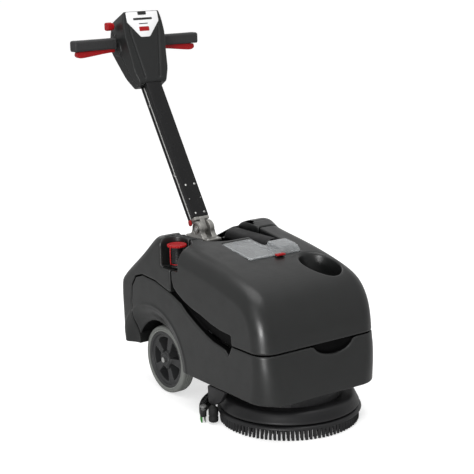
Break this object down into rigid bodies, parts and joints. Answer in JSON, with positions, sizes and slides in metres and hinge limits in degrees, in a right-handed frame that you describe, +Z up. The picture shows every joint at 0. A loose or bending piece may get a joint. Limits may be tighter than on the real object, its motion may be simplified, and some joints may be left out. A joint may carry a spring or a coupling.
{
  "type": "floor scrubber machine",
  "caption": "Compact walk-behind floor scrubber-dryer with disc brush, rear squeegee, lift-off recovery tank, battery drive and a tilting handle with trigger grips",
  "frame": {"origin": "on the floor, under the middle of the whole machine's box", "axes": "+Z up, -Y is the machine's front, +X is the side to the right when seen from the front"},
  "size_m": [0.4678, 1.004, 1.119],
  "materials": {
    "body": "satin",
    "black": "satin",
    "grip": "matte",
    "bumper": "matte",
    "red": "gloss",
    "column": "satin",
    "steel": "brushed",
    "cast": "cast",
    "motor": "satin",
    "board": "matte",
    "tyre": "matte",
    "blade_green": "matte",
    "hub": "satin",
    "bristle": "matte",
    "clear": "gloss",
    "label": "satin"
  },
  "bodies": {
    "machine": {"base_body": "body", "rear_housing": "body", "filler_neck": "black", "chassis_plate": "steel", "handle_post": "black", "lower_hinge": "cast", "hinge_pin": "steel", "axle_bracket_l": "steel", "axle_bracket_r": "steel", "axle": "steel", "gearbox": "motor", "brush_motor": "motor", "splash_hood": "body", "deck_ring": "black", "vacuum_motor": "motor", "solution_pump": "motor", "control_board": "board", "suction_hose": "black", "side_bracket_l": "black", "side_bracket_r": "black", "side_bumper_l": "bumper", "side_bumper_r": "bumper"},
    "brush": {"brush_disc": "black", "bristle_ring": "bristle", "drive_coupling": "steel"},
    "wheel_l": {"tyre_l": "tyre", "wheel_hub_l": "hub"},
    "wheel_r": {"tyre_r": "tyre", "wheel_hub_r": "hub"},
    "squeegee": {"squeegee_body": "black", "squeegee_blade_front": "tyre", "squeegee_blade_rear": "blade_green", "squeegee_neck": "black", "squeegee_knob_l": "motor", "squeegee_knob_r": "motor"},
    "handle": {"column": "column", "side_rail_l": "steel", "side_rail_r": "steel", "upper_hinge": "cast", "console_front": "body", "console_rear": "body", "label_plate": "label", "handlebar": "steel", "grip_l": "grip", "grip_r": "grip"},
    "trigger_l": {"trigger_l": "red"},
    "trigger_r": {"trigger_r": "red"},
    "dosing_knob": {"dosing_knob": "red"},
    "release_lever": {"release_lever": "red"},
    "recovery_tank": {"recovery_tank": "body", "air_duct": "black", "float_cage": "black"},
    "lid": {"clear_lid": "clear"},
    "lid_latch": {"lid_latch": "red"},
    "filler_cap": {"filler_cap": "red", "cap_tether": "red"},
    "battery": {"battery_pack": "black"}
  },
  "joints": [
    {"name": "brush_spin", "type": "hinge", "parent": "machine", "child": "brush", "pos_m": [0, -0.297, 0.04], "axis": [0, 0, 1], "continuous": true},
    {"name": "wheel_l_spin", "type": "hinge", "parent": "machine", "child": "wheel_l", "pos_m": [-0.145, 0.096, 0.1026], "axis": [1, 0, 0], "continuous": true},
    {"name": "wheel_r_spin", "type": "hinge", "parent": "machine", "child": "wheel_r", "pos_m": [0.145, 0.096, 0.1026], "axis": [1, 0, 0], "continuous": true},
    {"name": "squeegee_lift", "type": "slide", "parent": "machine", "child": "squeegee", "axis": [0, 0, 1], "range_m": [0, 0.03]},
    {"name": "handle_tilt", "type": "hinge", "parent": "machine", "child": "handle", "pos_m": [0, 0.113, 0.48], "axis": [-1, 0, 0], "range_deg": [-108, 20]},
    {"name": "trigger_l_squeeze", "type": "hinge", "parent": "handle", "child": "trigger_l", "pos_m": [-0.084, 0.46288, 1.00072], "axis": [0, 1, 0], "range_deg": [0, 1.9], "stiffness_Nm_per_rad": 3, "springref_deg": -5.73},
    {"name": "trigger_r_squeeze", "type": "hinge", "parent": "handle", "child": "trigger_r", "pos_m": [0.084, 0.46288, 1.00072], "axis": [0, -1, 0], "range_deg": [0, 1.9], "stiffness_Nm_per_rad": 3, "springref_deg": -5.73},
    {"name": "dosing_knob_turn", "type": "hinge", "parent": "handle", "child": "dosing_knob", "pos_m": [-0.088, 0.47088, 1.07272], "axis": [-1, 0, 0], "range_deg": [0, 270]},
    {"name": "release_lever_pull", "type": "hinge", "parent": "handle", "child": "release_lever", "pos_m": [-0.03, 0.13659, 0.49112], "axis": [-1, 0, 0], "range_deg": [0, 18], "stiffness_Nm_per_rad": 0.5, "springref_deg": -17.19},
    {"name": "tank_lift", "type": "slide", "parent": "machine", "child": "recovery_tank", "axis": [0, -0.2588, 0.9659], "range_m": [0, 0.15]},
    {"name": "lid_open", "type": "hinge", "parent": "recovery_tank", "child": "lid", "pos_m": [0, -0.07849, 0.477], "axis": [-1, 0, 0], "range_deg": [0, 70]},
    {"name": "lid_latch_press", "type": "hinge", "parent": "recovery_tank", "child": "lid_latch", "pos_m": [0.027, -0.2385, 0.458], "axis": [1, 0, 0], "range_deg": [0, 30], "stiffness_Nm_per_rad": 0.2, "springref_deg": -17.19},
    {"name": "filler_cap_pull", "type": "slide", "parent": "machine", "child": "filler_cap", "axis": [0, 0, 1], "range_m": [0, 0.03]},
    {"name": "battery_slide", "type": "slide", "parent": "machine", "child": "battery", "axis": [0, 0.5878, 0.809], "range_m": [0, 0.14]}
  ]
}
